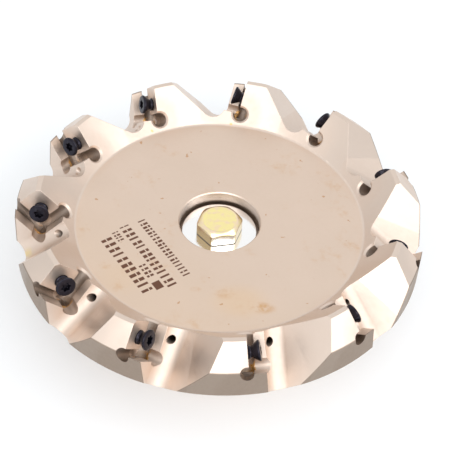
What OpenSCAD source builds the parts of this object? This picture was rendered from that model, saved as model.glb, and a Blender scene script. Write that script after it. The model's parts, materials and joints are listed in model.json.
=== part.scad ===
// Face mill with eleven 45 degree insert seats, its insert screws, and the bolt and
// washer that close the front of its bore. Millimetres. The origin is on the bore axis
// at the back seating face, and +Z points to the cutting face.

/* [Cutter body] */
// Diameter on the inner edge of the tooth crests, where the inserts cut
cutting_d = 118; // [116:1:120]
// Largest diameter of the body
body_d = 135; // [133:1:137]
// Height from the back seating face to the tooth crests
body_h = 50; // [48:1:54]
// Number of teeth
teeth = 11; // [11]
// Width of the narrow flat along each tooth crest
crest_w = 1.6; // [1.2:0.1:2]
// Depth of the flat front face below the tooth crests
face_recess = 10.9; // [10:0.1:11.5]
// Height of the plain band around the rim
rim_h = 10.3; // [9:0.1:11]
// Slope of the underside just behind the rim, from level
rim_slope = 52; // [50:1:53]
// Slope of the cone between the rim and the hub, from level
back_slope = 42; // [40:1:44]
// Diameter of the hub behind the cone
hub_d = 84; // [80:1:84]
// Radius of the blends in the hollow corners of the body
blend_r = 1.2; // [0.8:0.1:1.6]

/* [Gullets] */
// Slope of each gullet's floor line, falling outwards
gullet_slope = 38.5; // [37:0.5:40]
// Slope of the ramp behind each gullet, across the floor line
ramp_slope = 35.4; // [34:0.2:37]
// Radius along the bottom of each gullet
gullet_r = 4.2; // [3.6:0.1:4.8]
// Distance of the floor line from the centre of the front face
gullet_floor = 32.1; // [31.5:0.1:33]

/* [Insert seats] */
// Side of the square insert that a seat takes
insert_side = 12.7; // [12.7]
// Depth of a seat below the wall in front of it
seat_depth = 5.2; // [5:0.1:5.6]
// Radius of the middle of an insert
seat_r = 59.1; // [58.8:0.1:59.5]
// Height of the middle of an insert above the front face
seat_rise = 4.2; // [3.8:0.1:4.6]
// Lean of a seat outwards
radial_lean = 5.1; // [4.5:0.1:5.5]
// Lean of a seat towards the cutting face
axial_lean = 6.3; // [6:0.1:7]
// Diameter of the relief along a seat's inner wall
inner_relief_d = 5; // [4.6:0.1:5.2]
// Diameter of the relief along a seat's outer wall
outer_relief_d = 4.2; // [3.8:0.1:4.4]
// Diameter of the relief in a seat's lowest corner
corner_relief_d = 4.8; // [4.4:0.1:5]
// Diameter of a coolant hole
coolant_d = 2.6; // [2.4:0.1:3]

/* [Insert screws] */
// Thread diameter
screw_d = 4.5; // [4.5]
// Diameter of the neck between the thread and the head
screw_neck_d = 3.6; // [3.5:0.1:3.8]
// Head diameter
screw_head_d = 6.6; // [6.4:0.1:6.7]
// Height of a head's top above the seat, with the screw backed out
screw_head_rise = 4; // [3.7:0.1:4.2]
// Lean of a screw towards the cutting face, away from square to its seat
screw_lean = 7; // [5:1:8]
// Length of a screw, head and all
screw_l = 12; // [11:0.5:13]
// Width of the six lobe socket over its lobes
socket_d = 3.3; // [3:0.1:3.4]

/* [Bore and centre bolt] */
// Diameter of the pilot bore in the hub
pilot_d = 27; // [27]
// Depth of the pilot bore and the coolant chamber above it
pilot_depth = 24; // [23:0.5:25]
// Diameter of the front recess around the washer
front_bore_d = 27; // [26.5:0.5:28]
// Depth of the front recess
front_bore_depth = 6.6; // [6.2:0.1:7]
// Width of the drive slot across the back
slot_w = 12.4; // [12.4]
// Depth of the drive slot
slot_depth = 7; // [7]
// Thread diameter of the centre bolt
bolt_d = 8; // [8]
// Length of the centre bolt below its head
bolt_l = 10; // [9.5:0.5:10]
// Width of the centre bolt's head across its flats
bolt_flats = 13.8; // [13:0.2:14]
// Height of the centre bolt's head
bolt_head_h = 5.4; // [5.3:0.1:5.6]
// Diameter of the washer
washer_d = 25; // [24:0.5:25.5]
// Thickness of the washer
washer_t = 2; // [2]

/* [Hidden] */
screw_names = ["insert_screw_01", "insert_screw_02", "insert_screw_03", "insert_screw_04",
    "insert_screw_05", "insert_screw_06", "insert_screw_07", "insert_screw_08",
    "insert_screw_09", "insert_screw_10", "insert_screw_11"];

$fn = 24;
fit_gap = 0.05;             // radial gap between a moving shank and its hole
eps = 0.01;                 // overlap that keeps cuts open
steel = "#dfcbbc";
black_oxide = "#26262b";
yellow_zinc = "#cfb878";
bright_zinc = "#d9dbdc";

pitch = 360 / teeth;
first_tooth = 18.1;         // direction of the first tooth's seat
face_z = body_h - face_recess;
crest_r = cutting_d / 2;
body_r = body_d / 2;
dish_r = crest_r - face_recess;
rim_top_z = body_h - (body_r - crest_r - crest_w);
rim_low_z = rim_top_z - rim_h;
hub_r = hub_d / 2;
rim_foot_r = body_r - 4;
rim_foot_z = rim_low_z - (body_r - rim_foot_r) * tan(rim_slope);
hub_top_z = rim_foot_z - (rim_foot_r - hub_r) * tan(back_slope);
hub_chamfer = 1.5;
shoulder_z = face_z - front_bore_depth;
washer_top_z = shoulder_z + washer_t;

seat_normal = [sin(radial_lean) * cos(axial_lean), cos(radial_lean) * cos(axial_lean),
    sin(axial_lean)];
seat_offset = 0.77;         // how far ahead of the tooth's own direction a seat's middle is
seat_middle = [seat_r, seat_offset, seat_rise];
half_diagonal = insert_side / sqrt(2);

// A gullet's outline is drawn square to its floor line: p across it, q up from it.
wall_up = [-(seat_normal[0] * sin(gullet_slope) + seat_normal[2] * cos(gullet_slope)),
    seat_normal[1]] / norm([seat_normal[0] * sin(gullet_slope)
    + seat_normal[2] * cos(gullet_slope), seat_normal[1]]);
wall_out = [wall_up[1], -wall_up[0]];
ramp_up = [cos(ramp_slope), sin(ramp_slope)];
ramp_out = [-sin(ramp_slope), cos(ramp_slope)];
blend_q = gullet_floor + gullet_r;
blend_p = (seat_normal * seat_middle + seat_depth + gullet_r - wall_out[1] * blend_q)
    / wall_out[0];
blend_centre = [blend_p, blend_q];
gullet_top = 56;

function along(from, direction, q) = from + direction * (q - from[1]) / direction[1];

// Puts children in the frame of tooth number n, with X outwards at the seat.
module at_tooth(n) {
    rotate([0, 0, first_tooth + n * pitch])
        translate([0, 0, face_z])
            children();
}

// Puts children at the middle of a seat, with Y square to it.
module at_seat() {
    translate(seat_middle)
        rotate([axial_lean, 0, -radial_lean])
            children();
}

// Puts children on the screw of a seat, with Y along it and its head's top at screw_head_rise.
module at_screw() {
    at_seat()
        translate([0, screw_head_rise, 0])
            rotate([screw_lean, 0, 0])
                translate([0, -screw_head_rise, 0])
                    children();
}

// A round bar along Y.
module bar_y(d, from_y, to_y) {
    translate([0, from_y, 0])
        rotate([-90, 0, 0])
            cylinder(d = d, h = to_y - from_y);
}

// The revolved blank: hub, back cone, rim, crest, dish and flat face.
module blank() {
    rotate_extrude($fn = 96)
        polygon([
            [0, 0],
            [hub_r - hub_chamfer, 0],
            [hub_r, hub_chamfer],
            [hub_r, hub_top_z],
            [rim_foot_r, rim_foot_z],
            [body_r, rim_low_z],
            [body_r, rim_top_z],
            [crest_r + crest_w, body_h],
            [crest_r, body_h],
            [dish_r, face_z],
            [0, face_z]
        ]);
}

// The blend where the dish meets the flat face.
module dish_blend() {
    reach = blend_r * tan(22.5);
    rotate_extrude($fn = 96)
        difference() {
            polygon([
                [dish_r - reach, face_z - eps],
                [dish_r + eps, face_z - eps],
                [dish_r + reach * cos(45) + eps, face_z + reach * sin(45)],
                [dish_r - reach, face_z + blend_r]
            ]);
            translate([dish_r - reach, face_z + blend_r])
                circle(r = blend_r);
        }
}

// The space of one gullet. Its two sides run a hair inside the round at the bottom.
module gullet() {
    side_r = gullet_r - 0.02;
    wall_foot = blend_centre - side_r * wall_out;
    ramp_foot = blend_centre - side_r * ramp_out;
    rotate([0, 90 + gullet_slope, 0])
        linear_extrude(height = 100)
            rotate([0, 0, 90]) {
                polygon([
                    wall_foot,
                    along(wall_foot, wall_up, gullet_top),
                    along(ramp_foot, ramp_up, gullet_top),
                    ramp_foot,
                    blend_centre
                ]);
                translate(blend_centre)
                    circle(r = gullet_r);
            }
}

// The space of one insert seat, its reliefs and its screw hole.
module pocket() {
    wall_l = 30;
    relief_drop = 0.6;
    mouth_chamfer = 0.6;
    mouth_at = (seat_r - dish_r + half_diagonal - seat_rise) / sqrt(2);
    corner_rise = 1.35;
    screw_hole_l = 11;
    at_seat() {
        translate([0, 0, -half_diagonal])
            rotate([0, -45, 0]) {
                cube([wall_l, seat_depth + 4, wall_l]);
                translate([0, -relief_drop, -1])
                    cylinder(d = inner_relief_d, h = wall_l);
                translate([0, -relief_drop, mouth_at - mouth_chamfer])
                    cylinder(d1 = inner_relief_d, d2 = inner_relief_d + 4 * mouth_chamfer,
                        h = 2 * mouth_chamfer);
                translate([-1, -relief_drop, 0])
                    rotate([0, 90, 0])
                        cylinder(d = outer_relief_d, h = wall_l);
            }
        translate([0, 0, -half_diagonal + corner_rise])
            bar_y(corner_relief_d, -0.3, seat_depth + 2.5);
    }
    at_screw()
        bar_y(screw_d + 2 * fit_gap, -screw_hole_l, 2);
}

// One coolant channel, from the chamber above the pilot bore to a gullet.
module coolant_channel() {
    exit_turn = 9.3;
    exit_r = 53.35;
    exit_z = -0.08;
    chamber_z = pilot_depth - 1.6 - face_z;
    run = exit_r - pilot_d / 2;
    fall = exit_z - chamber_z;
    rotate([0, 0, exit_turn])
        translate([pilot_d / 2, 0, chamber_z])
            rotate([0, atan2(run, fall), 0])
                cylinder(d = coolant_d, h = norm([run, fall]) + 4, $fn = 32);
}

// Pilot bore, coolant chamber, threaded hole, front recess and drive slot.
module bore_spaces() {
    mouth_d = pilot_d + 1;
    chamber_d = pilot_d + 3;
    chamber_h = 4;
    chamfer = 0.4;
    translate([0, 0, -eps])
        cylinder(d = mouth_d, h = slot_depth + 0.5);
    cylinder(d = pilot_d, h = pilot_depth);
    translate([0, 0, pilot_depth - chamber_h])
        cylinder(d = chamber_d, h = chamber_h);
    cylinder(r = bolt_d / 2 + fit_gap, h = body_h);
    translate([0, 0, shoulder_z])
        cylinder(d = front_bore_d, h = body_h);
    translate([0, 0, face_z - chamfer])
        cylinder(d1 = front_bore_d, d2 = front_bore_d + 2 * chamfer + 2 * eps, h = chamfer + eps);
    translate([-body_r, -slot_w / 2, -eps])
        cube([body_d, slot_w, slot_depth + eps]);
}

module cutter_body() {
    color(steel)
        difference() {
            union() {
                blank();
                dish_blend();
            }
            for (n = [0:teeth - 1])
                at_tooth(n) {
                    gullet();
                    pocket();
                    coolant_channel();
                }
            bore_spaces();
        }
}

// Outline of a six lobe socket.
module lobe_outline(d) {
    lobe_r = 0.17 * d;
    circle(d = 0.72 * d, $fn = 48);
    for (turn = [0:60:300])
        rotate([0, 0, turn])
            translate([d / 2 - lobe_r, 0])
                circle(r = lobe_r, $fn = 24);
}

// An insert screw along Z: thread, neck, cone and head, with a socket in its top.
module screw_shape() {
    cone_h = (screw_head_d - screw_neck_d) / 2 / tan(35);
    rim = 0.35;
    tip = 0.5;
    socket_depth = 1.7;
    low = screw_head_rise - screw_l;
    cone_low = screw_head_rise - rim * 2 - cone_h;
    thread_top = cone_low - 0.2 - (screw_d - screw_neck_d) / 2;
    difference() {
        rotate_extrude()
            polygon([
                [0, low],
                [screw_d / 2 - tip, low],
                [screw_d / 2, low + tip],
                [screw_d / 2, thread_top],
                [screw_neck_d / 2, cone_low - 0.2],
                [screw_neck_d / 2, cone_low],
                [screw_head_d / 2, screw_head_rise - rim * 2],
                [screw_head_d / 2, screw_head_rise - rim],
                [screw_head_d / 2 - rim, screw_head_rise],
                [0, screw_head_rise]
            ]);
        translate([0, 0, screw_head_rise - socket_depth])
            linear_extrude(height = socket_depth + eps)
                lobe_outline(socket_d);
    }
}

module insert_screw(n) {
    color(black_oxide)
        at_tooth(n)
            at_screw()
                rotate([-90, 0, 0])
                    screw_shape();
}

module centre_washer() {
    hole_d = 8.4;
    color(bright_zinc)
        translate([0, 0, shoulder_z])
            difference() {
                cylinder(d = washer_d, h = washer_t);
                translate([0, 0, -eps])
                    cylinder(d = hole_d, h = washer_t + 2 * eps);
            }
}

module centre_bolt() {
    head_turn = 13;
    corner_d = bolt_flats / cos(30);
    top_d = 12;
    chamfer_drop = (corner_d - top_d) / 2 * tan(36);
    tip = 0.8;
    color(yellow_zinc)
        translate([0, 0, washer_top_z]) {
            intersection() {
                rotate([0, 0, head_turn])
                    cylinder(d = corner_d, h = bolt_head_h, $fn = 6);
                rotate_extrude()
                    polygon([
                        [0, 0],
                        [corner_d / 2, 0],
                        [corner_d / 2, bolt_head_h - chamfer_drop],
                        [top_d / 2, bolt_head_h],
                        [0, bolt_head_h]
                    ]);
            }
            translate([0, 0, -bolt_l])
                rotate_extrude()
                    polygon([
                        [0, 0],
                        [bolt_d / 2 - tip, 0],
                        [bolt_d / 2, tip],
                        [bolt_d / 2, bolt_l + eps],
                        [0, bolt_l + eps]
                    ]);
        }
}

cutter_body();
for (n = [0:teeth - 1])
    insert_screw(n);
centre_washer();
centre_bolt();
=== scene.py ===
"""Looks for the face mill: camera, studio, floor, materials, and threaded screws and bolt."""

import json
import math

import bpy
from mathutils import Matrix, Vector


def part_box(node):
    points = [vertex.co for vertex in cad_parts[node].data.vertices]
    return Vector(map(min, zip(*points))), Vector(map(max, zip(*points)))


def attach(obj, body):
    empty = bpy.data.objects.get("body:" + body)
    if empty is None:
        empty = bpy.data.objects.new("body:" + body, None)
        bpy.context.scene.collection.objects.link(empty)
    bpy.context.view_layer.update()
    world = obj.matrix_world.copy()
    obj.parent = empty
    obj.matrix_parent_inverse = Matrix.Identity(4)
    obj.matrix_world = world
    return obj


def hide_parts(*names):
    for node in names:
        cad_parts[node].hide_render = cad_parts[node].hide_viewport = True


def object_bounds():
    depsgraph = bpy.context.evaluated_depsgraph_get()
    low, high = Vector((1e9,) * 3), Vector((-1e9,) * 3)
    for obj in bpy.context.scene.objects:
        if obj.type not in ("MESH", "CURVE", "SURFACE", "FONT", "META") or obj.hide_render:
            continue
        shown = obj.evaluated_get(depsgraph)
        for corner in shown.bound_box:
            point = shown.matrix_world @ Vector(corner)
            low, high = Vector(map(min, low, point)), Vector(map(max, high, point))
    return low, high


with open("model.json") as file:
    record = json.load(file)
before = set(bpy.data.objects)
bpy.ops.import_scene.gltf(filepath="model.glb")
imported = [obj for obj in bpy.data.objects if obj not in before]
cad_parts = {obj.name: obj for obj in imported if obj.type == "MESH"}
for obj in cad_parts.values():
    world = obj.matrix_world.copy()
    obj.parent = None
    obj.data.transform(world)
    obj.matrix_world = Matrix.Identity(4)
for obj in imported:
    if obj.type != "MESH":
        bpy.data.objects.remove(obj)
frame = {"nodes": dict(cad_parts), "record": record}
cad_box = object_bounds()

MM = 0.001
TEETH = 11
PITCH = 2 * math.pi / TEETH
mounts = {m["name"]: m for m in frame["record"]["mounts"]}
joints = {j["name"]: j for j in frame["record"]["behaviour"]["joints"]}


# ---------------------------------------------------------------- places from the frame


def corner(node, which):
    return Vector(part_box(node)[which])


FACE_DROP = 10.9 * MM  # from the crests of the teeth down to the flat face
FACE_Z = corner("cutter_body", 1).z - FACE_DROP
BODY_R = corner("cutter_body", 1).x
WASHER_TOP = corner("centre_washer", 1).z
BOLT_TOP = corner("centre_bolt", 1).z
BOLT_TIP = corner("centre_bolt", 0).z
SEAT = [mounts["insert_seat_%02d" % (n + 1)] for n in range(TEETH)]
SCREW_AXIS = [Vector(joints["screw_lift_%02d" % (n + 1)]["axis"]) for n in range(TEETH)]
SCREW_RISE = 4.0 * MM  # how far a screw's head stands above its seat

# Sizes on the body, in millimetres.
FACE_EDGE = 47.4  # radius where the flat face ends
RECESS_EDGE = 13.8  # just outside the wall of the front recess
INSERT_SIDE = 12.7
INNER_RELIEF, OUTER_RELIEF, CORNER_RELIEF = 2.5, 2.1, 2.4  # radii
RELIEF_DROP = 0.6  # the side reliefs' middle lines lie this far under the seat
CORNER_RISE = 1.35  # the corner relief's middle line, above the seat's lowest corner


# ---------------------------------------------------------------- mesh building


def make_object(name, verts, faces, sharp_deg=32):
    mesh = bpy.data.meshes.new(name)
    mesh.from_pydata(verts, [], faces)
    mesh.validate()
    mesh.shade_smooth()
    mesh.set_sharp_from_angle(angle=math.radians(sharp_deg))
    obj = bpy.data.objects.new(name, mesh)
    bpy.context.scene.collection.objects.link(obj)
    return obj


def stack_rings(rings):
    """Vertices and faces of a closed solid: rings of the same number of points, lowest first,
    with a fan to a middle point over each end."""
    count = len(rings[0])
    verts = [p for ring in rings for p in ring]
    faces = []
    for i in range(len(rings) - 1):
        low, high = i * count, (i + 1) * count
        for j in range(count):
            k = (j + 1) % count
            faces.append((low + j, low + k, high + k, high + j))
    for base, flip in ((0, True), ((len(rings) - 1) * count, False)):
        middle = len(verts)
        ring = verts[base : base + count]
        verts.append(tuple(sum(p[a] for p in ring) / count for a in range(3)))
        for j in range(count):
            k = (j + 1) % count
            face = (base + j, base + k, middle)
            faces.append(face[::-1] if flip else face)
    return verts, faces


def circle_ring(radius, z, count, start=0.0):
    steps = [start + 2 * math.pi * j / count for j in range(count)]
    return [(radius * math.cos(a), radius * math.sin(a), z) for a in steps]


def thread_rings(crest, depth, pitch, z_low, z_high, count, start=0.0, per_turn=8, run_out=1.0):
    """Rings of an outside thread. It fades out over its first and last run_out turns; a crest
    flat, two flanks and a root make up each pitch."""
    crest_flat, flanks = 0.12, 0.70
    rows = max(2, round((z_high - z_low) / pitch * per_turn))
    rings = []
    for i in range(rows + 1):
        z = z_low + (z_high - z_low) * i / rows
        fade = min(1, (z - z_low) / (run_out * pitch), (z_high - z) / (run_out * pitch))
        ring = []
        for j in range(count):
            turn = j / count
            phase = (z / pitch - turn) % 1
            flank = min(1, max(0, (abs(2 * phase - 1) - crest_flat) / flanks))
            r = crest - depth * fade * flank
            angle = start + 2 * math.pi * turn
            ring.append((r * math.cos(angle), r * math.sin(angle), z))
        rings.append(ring)
    return rings


# ---------------------------------------------------------------- node materials


class Tree:
    """Short ways to add shader nodes. A value is a socket, a number or a tuple."""

    def __init__(self, name):
        self.material = bpy.data.materials.new(name)
        self.material.use_nodes = True
        self.nodes = self.material.node_tree.nodes
        self.links = self.material.node_tree.links
        self.nodes.clear()
        self.shader = self.nodes.new("ShaderNodeBsdfPrincipled")
        self.out = self.nodes.new("ShaderNodeOutputMaterial")
        self.links.new(self.shader.outputs[0], self.out.inputs[0])

    def feed(self, socket, value):
        if isinstance(value, bpy.types.NodeSocket):
            self.links.new(value, socket)
        elif isinstance(value, tuple) and len(value) == 3 and socket.type == "RGBA":
            socket.default_value = (*value, 1)
        else:
            socket.default_value = value

    def set(self, name, value):
        self.feed(self.shader.inputs[name], value)

    def math(self, op, a, b=0.0, c=0.0, clamp=False):
        node = self.nodes.new("ShaderNodeMath")
        node.operation = op
        node.use_clamp = clamp
        for socket, value in zip(node.inputs, (a, b, c)):
            self.feed(socket, value)
        return node.outputs[0]

    def add(self, *values):
        total = values[0]
        for value in values[1:]:
            total = self.math("ADD", total, value)
        return total

    def mul(self, *values):
        total = values[0]
        for value in values[1:]:
            total = self.math("MULTIPLY", total, value)
        return total

    def most(self, *values):
        total = values[0]
        for value in values[1:]:
            total = self.math("MAXIMUM", total, value)
        return total

    def ramp(self, value, low, high, to_low=0.0, to_high=1.0, kind="LINEAR"):
        node = self.nodes.new("ShaderNodeMapRange")
        node.interpolation_type = kind
        for socket, part in zip(node.inputs, (value, low, high, to_low, to_high)):
            self.feed(socket, part)
        return node.outputs[0]

    def smooth(self, value, low, high):
        return self.ramp(value, low, high, kind="SMOOTHSTEP")

    def inside(self, value, low, high, soft=0.05):
        """1 where value lies between low and high, with soft edges."""
        up = self.ramp(value, low - soft, low + soft)
        down = self.ramp(value, high - soft, high + soft, 1.0, 0.0)
        return self.mul(up, down)

    def mix(self, factor, a, b):
        node = self.nodes.new("ShaderNodeMix")
        node.data_type = "RGBA"
        self.feed(node.inputs[0], factor)
        self.feed(node.inputs[6], a)
        self.feed(node.inputs[7], b)
        return node.outputs[2]

    def split(self, vector):
        node = self.nodes.new("ShaderNodeSeparateXYZ")
        self.feed(node.inputs[0], vector)
        return node.outputs[0], node.outputs[1], node.outputs[2]

    def join(self, x, y, z):
        node = self.nodes.new("ShaderNodeCombineXYZ")
        for socket, value in zip(node.inputs, (x, y, z)):
            self.feed(socket, value)
        return node.outputs[0]

    def place(self):
        """The object's own coordinates, in millimetres."""
        where = self.nodes.new("ShaderNodeTexCoord").outputs["Object"]
        node = self.nodes.new("ShaderNodeVectorMath")
        node.operation = "SCALE"
        self.feed(node.inputs[0], where)
        node.inputs["Scale"].default_value = 1 / MM
        return node.outputs[0]

    def noise(self, vector, scale, detail=3.0, rough=0.5):
        node = self.nodes.new("ShaderNodeTexNoise")
        self.feed(node.inputs["Vector"], vector)
        self.feed(node.inputs["Scale"], scale)
        self.feed(node.inputs["Detail"], detail)
        self.feed(node.inputs["Roughness"], rough)
        return node.outputs[0]

    def cell_noise(self, vector):
        node = self.nodes.new("ShaderNodeTexWhiteNoise")
        node.noise_dimensions = "3D"
        self.feed(node.inputs["Vector"], vector)
        return node.outputs[0]

    def rounded(self, radius):
        """Normals that turn smoothly over sharp edges, as on a deburred part."""
        node = self.nodes.new("ShaderNodeBevel")
        node.samples = 6
        node.inputs["Radius"].default_value = radius
        return node.outputs[0]

    def openness(self, reach):
        """1 on an open surface, falling towards 0 deep inside a narrow hole."""
        node = self.nodes.new("ShaderNodeAmbientOcclusion")
        node.samples = 8
        node.only_local = True
        node.inputs["Distance"].default_value = reach
        return node.outputs["AO"]

    def bump(self, height, distance, strength=1.0, normal=None):
        node = self.nodes.new("ShaderNodeBump")
        self.feed(node.inputs["Height"], height)
        node.inputs["Distance"].default_value = distance
        node.inputs["Strength"].default_value = strength
        if normal is not None:
            self.feed(node.inputs["Normal"], normal)
        return node.outputs[0]

    def length(self, *parts):
        return self.math("SQRT", self.add(*(self.mul(part, part) for part in parts)))

    def near(self, value, target, reach):
        """1 where value is at target, falling to 0 at reach away from it."""
        gap = self.math("ABSOLUTE", self.math("SUBTRACT", value, target))
        return self.smooth(gap, reach, 0.0)


def body_material():
    t = Tree("nickel_steel")
    p = t.place()
    x, y, z = t.split(p)
    radius = t.length(x, y)
    face_z = FACE_Z / MM
    on_face = t.mul(
        t.inside(z, face_z - 0.2, face_z + 0.2, 0.05),
        t.ramp(radius, FACE_EDGE, FACE_EDGE + 0.6, 1.0, 0.0),
    )
    turned_side = t.ramp(radius, BODY_R / MM - 0.35, BODY_R / MM - 0.15)
    inner, outer, corner_gap, from_corner, lift = relief_gaps(t, x, y, z)

    colour = (0.755, 0.640, 0.555)
    cloud = t.ramp(t.noise(p, 0.05, 4.0), 0.35, 0.7)
    colour = t.mix(cloud, colour, (0.735, 0.615, 0.53))
    face_colour = t.mix(cloud, (0.765, 0.62, 0.515), (0.74, 0.60, 0.495))
    colour = t.mix(on_face, colour, face_colour)
    # Painted shade: the outer turned side is painted much darker than the rest of the body, in
    # place of the shaded floor it reflects.
    colour = t.mix(t.mul(turned_side, 0.94), colour, (0.315, 0.25, 0.20))

    # Painted shade: the recess wall is painted darker towards its floor, and the reliefs are
    # painted darker than the seats, as shade in these hollows; the corner relief gets only a
    # quarter of it.
    in_recess = t.ramp(radius, RECESS_EDGE + 0.1, RECESS_EDGE - 0.1)
    recess = t.mul(in_recess, t.ramp(z, face_z - 0.35, face_z - 0.7))
    shade = t.ramp(z, face_z - 1.5, face_z - 5.0)
    wall = t.mix(shade, (0.74, 0.62, 0.54), (0.24, 0.185, 0.15))
    colour = t.mix(t.mul(recess, 0.75), colour, wall)
    near_seat = t.ramp(lift, 2.4, 2.2)
    relief = t.most(
        t.mul(t.ramp(inner, INNER_RELIEF + 0.12, INNER_RELIEF + 0.05), near_seat, 0.55),
        t.mul(t.ramp(outer, OUTER_RELIEF + 0.12, OUTER_RELIEF + 0.05), near_seat, 0.8),
    )
    in_corner = t.ramp(corner_gap, CORNER_RELIEF + 0.25, CORNER_RELIEF + 0.1)
    in_corner = t.mul(in_corner, t.ramp(lift, 8.1, 7.9))
    relief = t.mul(relief, t.ramp(in_corner, 0.0, 1.0, 1.0, 0.25))
    colour = t.mix(relief, colour, (0.33, 0.265, 0.22))
    rim_stain = patch(t, x, y, -63.5, -12.0, 3.6, 2.6)
    rim_stain = t.mul(rim_stain, t.smooth(t.noise(p, 0.5), 0.3, 0.6))
    colour = t.mix(t.mul(rim_stain, 0.7), colour, (0.86, 0.70, 0.36))

    # Oily smears, faint rusty stains, specks and drops on the flat face.
    low_left = t.smooth(t.add(t.mul(x, -0.55), t.mul(y, -0.85)), 4.0, 44.0)
    colour = t.mix(t.mul(on_face, low_left, 0.5), colour, (0.77, 0.60, 0.46))
    haze = t.most(
        patch(t, x, y, 8.0, -35.0, 12.0, 9.0),
        t.mul(patch(t, x, y, -30.0, -27.0, 10.0, 9.0), 0.5),
    )
    colour = t.mix(t.mul(on_face, haze, 0.6), colour, (0.79, 0.59, 0.41))
    smear = t.most(
        patch(t, x, y, 15.0, -37.0, 5.5, 3.0),
        t.mul(patch(t, x, y, 3.0, -32.0, 5.0, 3.0), 0.5),
        t.mul(patch(t, x, y, -36.0, -23.0, 3.0, 2.0), 0.6),
        t.mul(patch(t, x, y, -6.0, -31.0, 2.5, 1.6), 0.6),
    )
    smear = t.mul(smear, t.smooth(t.noise(p, 0.32, 4.0, 0.6), 0.36, 0.66))
    stain = t.mul(
        t.smooth(t.noise(p, 0.09, 5.0, 0.6), 0.54, 0.72),
        t.smooth(t.noise(p, 0.5, 3.0), 0.35, 0.75),
    )
    stain = t.mul(on_face, t.most(t.mul(smear, 0.9), t.mul(stain, 0.45)))
    colour = t.mix(stain, colour, (0.66, 0.40, 0.20))
    specks = t.most(
        *(patch(t, x, y, sx, sy, 0.5, 0.35) for sx, sy in ((-13, -3), (-18, -5), (-20, 2))),
        t.smooth(t.noise(p, 0.42, 2.0), 0.735, 0.77),
    )
    colour = t.mix(t.mul(on_face, specks, 0.7), colour, (0.56, 0.30, 0.14))
    drops = t.most(*(patch(t, x, y, dx, dy, 0.7, 0.5) for dx, dy in ((1.8, 48.4), (-26.0, 41.6))))
    colour = t.mix(t.mul(drops, 0.75), colour, (0.86, 0.52, 0.14))

    mark = t.mul(on_face, marking(t, x, y))
    colour = t.mix(t.mul(mark, 0.95), colour, (0.085, 0.024, 0.009))

    # Dried oil in the creases of each seat's lowest corner.
    at_inner = t.near(inner, INNER_RELIEF, 0.5)
    at_outer = t.near(outer, OUTER_RELIEF, 0.5)
    at_corner = t.near(corner_gap, CORNER_RELIEF, 0.5)
    crease = t.most(
        t.mul(at_inner, at_outer), t.mul(at_inner, at_corner), t.mul(at_outer, at_corner)
    )
    pool = t.mul(t.smooth(from_corner, 3.2, 1.4), t.smooth(t.noise(p, 0.7, 3.0), 0.30, 0.50))
    residue = t.math("MINIMUM", t.mul(pool, crease, 2.2), 1.0)
    colour = t.mix(t.mul(residue, 0.85), colour, (0.66, 0.34, 0.07))

    # Painted shade: narrow holes are painted near black inside, darker the less open they are.
    deep = t.smooth(t.openness(6.0 * MM), 0.34, 0.10)
    colour = t.mix(t.mul(deep, 0.85), colour, (0.035, 0.025, 0.020))

    in_seat = t.ramp(from_corner, 15.0, 13.0)
    rough = t.add(t.ramp(t.noise(p, 0.8, 4.0), 0.3, 0.7, 0.35, 0.43), t.mul(in_seat, 0.13))
    rough = t.add(rough, t.mul(mark, 0.22), t.mul(residue, -0.24), t.mul(turned_side, 0.04))

    grain = t.noise(p, 5.0, 3.0, 0.6)
    face_feed, side_feed = 0.35, 0.45  # millimetres from one turning line to the next
    turned = t.math("SINE", t.mul(radius, 2 * math.pi / face_feed))
    side_lines = t.math("SINE", t.mul(z, 2 * math.pi / side_feed))
    height = t.add(
        t.mul(grain, 0.5),
        t.mul(on_face, turned, 0.10),
        t.mul(turned_side, side_lines, 0.12),
        t.mul(mark, -0.6),
        t.mul(residue, 1.5),
    )
    t.set("Normal", t.bump(height, 0.012 * MM, 0.6, t.rounded(0.22 * MM)))
    t.set("Base Color", colour)
    t.set("Metallic", t.ramp(t.most(mark, t.mul(residue, 0.5)), 0.0, 1.0, 1.0, 0.0))
    t.set("Specular IOR Level", 0.2)
    t.set("Roughness", rough)
    return t.material


def patch(t, x, y, at_x, at_y, reach_x, reach_y):
    """A soft round spot on the face, 1 in its middle."""
    across = t.math("DIVIDE", t.math("SUBTRACT", x, at_x), reach_x)
    along = t.math("DIVIDE", t.math("SUBTRACT", y, at_y), reach_y)
    return t.smooth(t.length(across, along), 1.0, 0.25)


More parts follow.
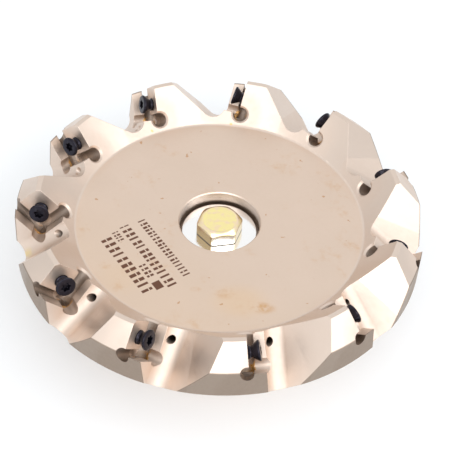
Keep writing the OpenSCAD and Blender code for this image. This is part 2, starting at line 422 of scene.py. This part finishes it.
def marking(t, x, y):
    """Rows of plain bars where the tool carries its laser marking. A row is its lowest and
    highest edge, its start and end along the row, and the step from bar to bar."""
    lean = math.radians(-54.1)
    along = t.add(t.mul(x, math.cos(lean)), t.mul(y, math.sin(lean)))
    across = t.add(t.mul(x, -math.sin(lean)), t.mul(y, math.cos(lean)))
    total = None
    rows = (
        (-38.4, -34.6, -12.9, 15.0, 2.55),
        (-33.6, -31.4, -13.6, -8.6, 1.25),
        (-33.6, -31.2, 3.0, 9.6, 1.65),
        (-30.2, -26.9, -14.4, 17.4, 2.15),
        (-23.6, -21.0, -14.2, 15.4, 1.55),
    )
    for n, (low, high, start, end, cell) in enumerate(rows):
        step = t.math("DIVIDE", along, cell)
        index, part = t.math("FLOOR", step), t.math("FRACT", step)
        pick = t.cell_noise(t.join(index, float(n), 0.5))
        width = t.ramp(pick, 0.0, 1.0, 0.42, 0.76)
        bar = t.mul(
            t.ramp(part, 0.10, 0.16),
            t.ramp(t.math("SUBTRACT", part, width), 0.0, 0.06, 1.0, 0.0),
        )
        notch = t.cell_noise(t.join(index, float(n), 7.5))
        tall = high - low
        middle = t.add(low + tall * 0.3, t.mul(notch, tall * 0.4))
        gap = t.inside(t.math("SUBTRACT", across, middle), -0.17, 0.17, 0.05)
        gap = t.mul(gap, t.math("GREATER_THAN", pick, 0.25))
        bar = t.mul(bar, t.math("SUBTRACT", 1.0, gap))
        row = t.mul(bar, t.inside(across, low, high, 0.08), t.inside(along, start, end, 0.08))
        total = row if total is None else t.most(total, row)
    square = t.mul(t.inside(along, 11.9, 15.3, 0.08), t.inside(across, -33.9, -31.1, 0.08))
    return t.most(total, square)


def tooth_frame(t, x, y, z):
    """A point in the frame of the tooth it belongs to, along the seat's own axes."""
    first = math.atan2(SEAT[0]["pos_m"][1], SEAT[0]["pos_m"][0])
    angle = t.math("SUBTRACT", t.math("ARCTAN2", y, x), first - PITCH / 2)
    share = t.math("FRACT", t.add(t.math("DIVIDE", angle, PITCH), 2.0))
    turn = t.add(t.math("SUBTRACT", t.mul(share, PITCH), PITCH / 2), first)
    radius = t.length(x, y)
    return t.mul(radius, t.math("COSINE", turn)), t.mul(radius, t.math("SINE", turn)), z


def relief_gaps(t, x, y, z):
    """How far a point is from the middle line of each relief of its insert seat: the inner, the
    outer and the corner one; from the line along the seat's lowest corner; and above the seat."""
    tx, ty, tz = tooth_frame(t, x, y, z)
    seat = Vector(SEAT[0]["pos_m"]) / MM
    normal = Vector(SEAT[0]["axis"])
    out = normal.cross(Vector((0, 0, 1))).normalized()
    rise = out.cross(normal)
    low = seat - rise * INSERT_SIDE / math.sqrt(2)

    def along(way, start):
        return t.add(
            t.mul(t.math("SUBTRACT", tx, start.x), way.x),
            t.mul(t.math("SUBTRACT", ty, start.y), way.y),
            t.mul(t.math("SUBTRACT", tz, start.z), way.z),
        )

    outward = (out + rise).normalized()
    inward = (rise - out).normalized()
    floor = low - normal * RELIEF_DROP
    a, b, v = along(outward, floor), along(inward, floor), along(normal, floor)
    middle = low + rise * CORNER_RISE
    before_a = t.math("MINIMUM", t.add(a, 0.8), 0.0)
    before_b = t.math("MINIMUM", t.add(b, 0.8), 0.0)
    return (
        t.length(a, v, before_b),
        t.length(b, v, before_a),
        t.length(along(out, middle), along(rise, middle)),
        t.length(along(out, low), along(rise, low), t.math("MINIMUM", along(normal, low), 0.0)),
        along(normal, low),
    )


def black_oxide():
    t = Tree("black_oxide")
    p = t.place()
    worn = t.smooth(t.noise(p, 0.8, 4.0), 0.5, 0.8)
    t.set("Base Color", t.mix(t.mul(worn, 0.4), (0.020, 0.018, 0.027), (0.060, 0.056, 0.068)))
    t.set("Metallic", 0.75)
    t.set("Roughness", t.ramp(t.noise(p, 2.0), 0.3, 0.7, 0.16, 0.28))
    t.set("Normal", t.bump(t.noise(p, 7.0, 2.0), 0.01 * MM, 0.6, t.rounded(0.12 * MM)))
    return t.material


def bright_zinc():
    t = Tree("bright_zinc")
    p = t.place()
    x, y, z = t.split(p)
    radius = t.length(x, y)
    t.set("Base Color", t.mix(t.noise(p, 0.3, 3.0), (0.985, 0.985, 0.98), (0.95, 0.955, 0.96)))
    t.set("Metallic", 1.0)
    t.set("Roughness", t.ramp(t.noise(p, 1.5, 3.0), 0.3, 0.7, 0.10, 0.17))
    lines = t.math("SINE", t.add(t.mul(radius, 30.0), t.mul(t.noise(p, 0.8), 4.0)))
    t.set("Normal", t.bump(lines, 0.002 * MM, 0.4, t.rounded(0.25 * MM)))
    return t.material


def yellow_zinc():
    t = Tree("yellow_zinc")
    p = t.place()
    x, y, z = t.split(p)
    radius = t.length(x, y)
    on_top = t.ramp(z, BOLT_TOP / MM - 0.3, BOLT_TOP / MM - 0.2)
    disc = t.mul(on_top, t.ramp(radius, 5.75, 5.55))
    tint = t.noise(p, 0.35, 3.0)
    gold = t.mix(t.smooth(tint, 0.35, 0.65), (0.93, 0.79, 0.44), (0.90, 0.74, 0.52))
    pink = t.smooth(t.noise(p, 0.45, 2.0), 0.50, 0.62)
    colour = t.mix(t.mul(disc, 0.75), gold, (0.98, 0.86, 0.38))
    colour = t.mix(t.mul(pink, 0.5), colour, (0.92, 0.70, 0.56))
    # Painted light: the left flat of the hexagon is painted dark olive as shade, and the front
    # flat near white as a highlight.
    side = t.ramp(z, BOLT_TOP / MM - 1.0, BOLT_TOP / MM - 1.6)
    turn = t.math("ARCTAN2", y, x)
    painted_shade_left_flat = t.inside(turn, math.radians(-167), math.radians(-107), 0.02)
    painted_highlight_front_flat = t.inside(turn, math.radians(-107), math.radians(-47), 0.02)
    colour = t.mix(t.mul(side, painted_shade_left_flat, 0.85), colour, (0.42, 0.29, 0.13))
    colour = t.mix(t.mul(side, painted_highlight_front_flat, 0.85), colour, (0.96, 0.94, 0.88))
    # Painted shadow: a dark band at the foot of the head, where it meets the washer.
    painted_foot_shadow = t.ramp(z, WASHER_TOP / MM + 0.5, WASHER_TOP / MM + 0.25)
    colour = t.mix(t.mul(painted_foot_shadow, 0.9), colour, (0.10, 0.08, 0.07))
    t.set("Base Color", colour)
    t.set("Metallic", 1.0)
    t.set("Roughness", t.ramp(t.noise(p, 1.3, 4.0), 0.3, 0.7, 0.14, 0.26))
    forged = t.add(t.noise(p, 0.9, 4.0), t.mul(disc, t.noise(p, 0.55, 2.0), 0.8))
    t.set("Normal", t.bump(forged, 0.05 * MM, 0.5, t.rounded(0.25 * MM)))
    return t.material


def paint(obj, material):
    obj.data.materials.clear()
    obj.data.materials.append(material)


# ---------------------------------------------------------------- insert screws


def insert_screw_mesh():
    """A seat screw with its thread, neck, cone and six lobe socket. z is 0 at the seat."""
    count, pitch, depth = 72, 0.75 * MM, 0.42 * MM
    top, length, crest = SCREW_RISE, 12.0 * MM, 2.25 * MM
    rings = [circle_ring(crest * 0.70, top - length, count)]
    rings.append(circle_ring(crest * 0.80, top - length + 0.12 * MM, count))
    rings += thread_rings(crest, depth, pitch, top - length + 0.45 * MM, 0.5 * MM, count)
    outline = [
        (2.05, -3.30), (1.84, -3.08), (1.8, -2.94), (1.8, -2.84), (1.88, -2.70), (3.16, -0.86),
        (3.26, -0.70), (3.30, -0.58), (3.30, -0.44), (3.26, -0.28), (3.15, -0.15), (2.95, -0.06),
        (2.5, -0.01), (2.1, 0.0), (1.88, 0.0),
    ]
    rings += [circle_ring(r * MM, top + z * MM, count) for r, z in outline]
    socket = ((1.06, -0.01), (1.0, -0.09), (0.985, -0.3), (0.97, -1.5), (0.9, -1.62), (0.5, -1.7))
    for grow, z in socket:
        ring = []
        for j in range(count):
            a = 2 * math.pi * j / count
            r = grow * (1.42 + 0.23 * math.cos(6 * a)) * MM  # six lobes
            ring.append((r * math.cos(a), r * math.sin(a), top + z * MM))
        rings.append(ring)
    return stack_rings(rings)


def screw_matrix(seat, axis, turn):
    """Where a screw stands: its head's top is over the middle of the seat, and it leans."""
    head = Vector(seat["pos_m"]) + SCREW_RISE * Vector(seat["axis"])
    spin = Matrix.Rotation(turn, 4, "Z")
    lean = axis.to_track_quat("Z", "Y").to_matrix().to_4x4()
    return Matrix.Translation(head - SCREW_RISE * axis) @ lean @ spin


def add_insert_screws(material):
    verts, faces = insert_screw_mesh()
    first = make_object("seat_screw_01", verts, faces)
    paint(first, material)
    for n in range(TEETH):
        name = "seat_screw_%02d" % (n + 1)
        obj = first
        if n:
            obj = bpy.data.objects.new(name, first.data)
            bpy.context.scene.collection.objects.link(obj)
        obj.matrix_world = screw_matrix(SEAT[n], SCREW_AXIS[n], 0.7 * n * n)
        bpy.context.view_layer.update()
        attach(obj, "screw_%02d" % (n + 1))
        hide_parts("insert_screw_%02d" % (n + 1))


# ---------------------------------------------------------------- centre bolt


def add_bolt(material):
    """The centre bolt: a chamfered hexagon head over a threaded shank."""
    count = 144
    flats, turn = 13.8 * MM, math.radians(13)
    top_r, slope = 6.0 * MM, math.tan(math.radians(36))
    steps = [2 * math.pi * j / count + turn for j in range(count)]

    def hexagon(a, rounding=0.25 * MM):
        past = (a - turn) % (math.pi / 3) - math.pi / 6
        return min(flats / 2 / math.cos(past), flats / math.sqrt(3) - rounding)

    def ring(radius, height):
        return [(radius(a) * math.cos(a), radius(a) * math.sin(a), height(a)) for a in steps]

    def edge(a):
        return BOLT_TOP - (hexagon(a) - top_r) * slope

    def circle(radius, z):
        return circle_ring(radius, z, count, turn)

    low, shank, pitch, depth = BOLT_TIP, 4.0 * MM, 1.25 * MM, 0.6 * MM
    rings = [circle(shank * 0.76, low), circle(shank * 0.84, low + 0.35 * MM)]
    ends = low + 0.8 * MM, WASHER_TOP - 0.6 * MM
    rings += thread_rings(shank, depth, pitch, *ends, count, turn)
    rings.append(circle(shank, WASHER_TOP - 0.3 * MM))
    rings.append(circle(shank, WASHER_TOP))
    rings.append(ring(lambda a: hexagon(a) - 0.12 * MM, lambda a: WASHER_TOP))
    rings.append(ring(lambda a: hexagon(a), lambda a: WASHER_TOP + 0.12 * MM))
    rings.append(ring(lambda a: hexagon(a), lambda a: edge(a) - 0.10 * MM))
    rings.append(ring(lambda a: hexagon(a) - 0.10 * MM, lambda a: edge(a) + 0.05 * MM))
    rings.append(circle(top_r + 0.14 * MM, BOLT_TOP - 0.10 * MM))
    rings.append(circle(top_r - 0.02 * MM, BOLT_TOP))
    rings.append(circle(5.72 * MM, BOLT_TOP))
    rings.append(circle(5.60 * MM, BOLT_TOP - 0.08 * MM))
    rings.append(circle(5.1 * MM, BOLT_TOP - 0.10 * MM))
    verts, faces = stack_rings(rings)
    bolt = make_object("hex_bolt", verts, faces)
    paint(bolt, material)
    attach(bolt, "bolt")
    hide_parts("centre_bolt")


# ---------------------------------------------------------------- studio


def add_camera():
    """The camera looks down at the face from the front, with a slight roll."""
    elevation, roll, distance = math.radians(45.79), math.radians(3.47), 0.450
    back = Vector((0, -math.cos(elevation), math.sin(elevation)))
    level, upright = Vector((1, 0, 0)), Vector((0, math.sin(elevation), math.cos(elevation)))
    right = math.cos(roll) * level + math.sin(roll) * upright
    up = -math.sin(roll) * level + math.cos(roll) * upright
    aim = Vector((0, 0, FACE_Z)) + 1.75 * MM * right - 1.33 * MM * up
    data = bpy.data.cameras.new("camera")
    data.sensor_width = 36
    data.lens = 108
    data.clip_start = 0.01
    obj = bpy.data.objects.new("camera", data)
    bpy.context.scene.collection.objects.link(obj)
    turn = Matrix((right, up, back)).transposed().to_4x4()
    obj.matrix_world = Matrix.Translation(aim + distance * back) @ turn
    bpy.context.scene.camera = obj


def add_softbox(name, azimuth, elevation, size, glow):
    """A soft panel that faces the object. Azimuth 0 is behind the object and 90 to its right;
    glow is how bright the panel itself looks."""
    distance = 1.2
    azimuth, elevation = math.radians(azimuth), math.radians(elevation)
    flat = math.cos(elevation)
    way = Vector((flat * math.sin(azimuth), flat * math.cos(azimuth), math.sin(elevation)))
    data = bpy.data.lights.new(name, "AREA")
    data.shape = "RECTANGLE"
    data.size, data.size_y = size
    data.energy = glow * math.pi * size[0] * size[1]
    obj = bpy.data.objects.new(name, data)
    bpy.context.scene.collection.objects.link(obj)
    place = Vector((0, 0, FACE_Z)) + distance * way
    obj.matrix_world = Matrix.Translation(place) @ way.to_track_quat("Z", "Y").to_matrix().to_4x4()


def add_floor():
    half, gap = 4.0, 0.02 * MM
    z = cad_box[0][2] - gap
    verts = [(-half, -half, z), (half, -half, z), (half, half, z), (-half, half, z)]
    floor = make_object("floor", verts, [(0, 1, 2, 3)])
    t = Tree("pale_floor")
    p = t.place()
    t.set("Base Color", t.mix(t.noise(p, 0.01, 3.0), (0.87, 0.90, 0.93), (0.89, 0.915, 0.935)))
    t.set("Roughness", 0.75)
    paint(floor, t.material)


def add_world():
    """A pale room: dimmer at the horizon, brighter half way up."""
    world = bpy.data.worlds.new("studio")
    bpy.context.scene.world = world
    world.use_nodes = True
    nodes, links = world.node_tree.nodes, world.node_tree.links
    where = nodes.new("ShaderNodeTexCoord")
    split = nodes.new("ShaderNodeSeparateXYZ")
    ramp = nodes.new("ShaderNodeValToRGB")
    links.new(where.outputs["Generated"], split.inputs[0])
    links.new(split.outputs[2], ramp.inputs[0])
    links.new(ramp.outputs[0], nodes["Background"].inputs[0])
    steps = ((0.0, 0.62), (0.26, 0.88), (0.55, 1.0), (1.0, 0.95))
    ramp.color_ramp.elements[0].position = steps[0][0]
    ramp.color_ramp.elements[1].position = steps[-1][0]
    for place, _ in steps[1:-1]:
        ramp.color_ramp.elements.new(place)
    for element, (_, level) in zip(ramp.color_ramp.elements, steps):
        element.color = (level, level, level, 1)


paint(frame["nodes"]["cutter_body"], body_material())
paint(frame["nodes"]["centre_washer"], bright_zinc())
add_bolt(yellow_zinc())
add_insert_screws(black_oxide())

add_camera()
add_world()
add_floor()
add_softbox("softbox_front", 190, 38, (1.3, 0.75), 1.85)
add_softbox("softbox_right", 121, 37, (1.15, 0.75), 1.6)
bpy.context.scene.view_settings.view_transform = "Standard"
